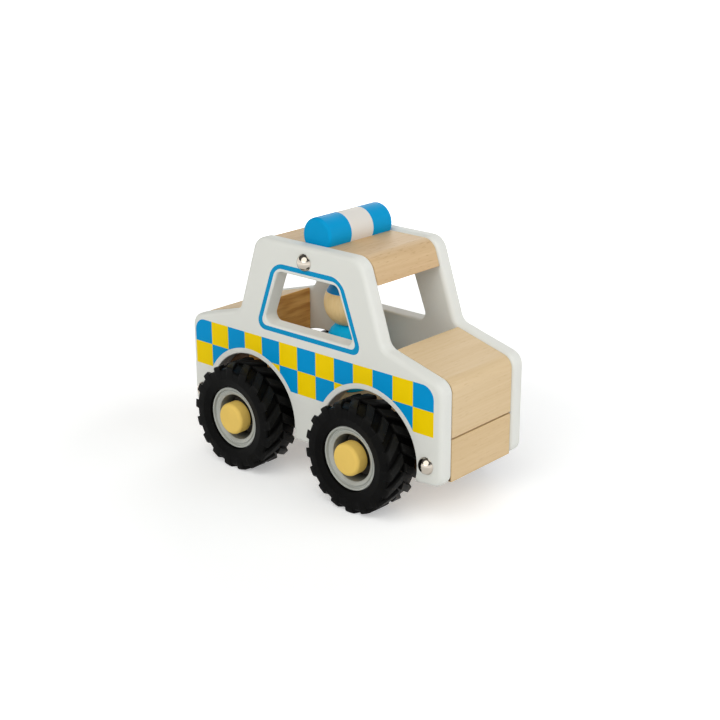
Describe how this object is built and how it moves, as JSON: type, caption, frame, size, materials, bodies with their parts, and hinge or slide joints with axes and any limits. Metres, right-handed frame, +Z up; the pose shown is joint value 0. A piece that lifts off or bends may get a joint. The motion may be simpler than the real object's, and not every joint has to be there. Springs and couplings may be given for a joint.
{
  "type": "toy police car",
  "caption": "Wooden toy police car with painted side boards, open cabin, peg driver, roof light bar and free-rolling lugged rubber wheels.",
  "frame": {"origin": "middle of the footprint, on the floor under the tyres", "axes": "+X to the front of the car, +Z up, the car's right side towards -Y"},
  "size_m": [0.136, 0.0764, 0.1084],
  "materials": {
    "painted_board": "satin white paint with a printed band",
    "beech": "sanded, clear satin",
    "blue_painted_wood": "satin paint",
    "yellow_painted_wood": "satin paint",
    "grey_plastic": "moulded",
    "tyre_rubber": "moulded",
    "steel": "drawn rod",
    "polished_nickel": "polished"
  },
  "bodies": {
    "car_body": {"right_side_board": "painted_board", "left_side_board": "painted_board", "chassis_board": "beech", "bonnet_block": "beech", "boot_block": "beech", "roof_block": "beech", "light_bar": "blue_painted_wood", "light_bar_dowels": "beech", "driver_body": "blue_painted_wood", "driver_head": "beech", "driver_dowel": "beech", "front_axle": "beech", "rear_axle": "beech", "front_right_hub_cap": "yellow_painted_wood", "front_left_hub_cap": "yellow_painted_wood", "rear_right_hub_cap": "yellow_painted_wood", "rear_left_hub_cap": "yellow_painted_wood", "roof_tie_rod": "steel", "front_tie_rod": "steel", "rear_tie_rod": "steel", "right_dome_caps": "polished_nickel", "left_dome_caps": "polished_nickel"},
    "front_right_wheel": {"front_right_rim": "grey_plastic", "front_right_tyre": "tyre_rubber"},
    "front_left_wheel": {"front_left_rim": "grey_plastic", "front_left_tyre": "tyre_rubber"},
    "rear_right_wheel": {"rear_right_rim": "grey_plastic", "rear_right_tyre": "tyre_rubber"},
    "rear_left_wheel": {"rear_left_rim": "grey_plastic", "rear_left_tyre": "tyre_rubber"}
  },
  "joints": [
    {"name": "front_right_roll", "type": "hinge", "parent": "car_body", "child": "front_right_wheel", "pos_m": [0.0312, -0.029, 0.0222], "axis": [0, 1, 0], "continuous": true},
    {"name": "front_left_roll", "type": "hinge", "parent": "car_body", "child": "front_left_wheel", "pos_m": [0.0312, 0.029, 0.0222], "axis": [0, 1, 0], "continuous": true},
    {"name": "rear_right_roll", "type": "hinge", "parent": "car_body", "child": "rear_right_wheel", "pos_m": [-0.033, -0.029, 0.0222], "axis": [0, 1, 0], "continuous": true},
    {"name": "rear_left_roll", "type": "hinge", "parent": "car_body", "child": "rear_left_wheel", "pos_m": [-0.033, 0.029, 0.0222], "axis": [0, 1, 0], "continuous": true}
  ]
}
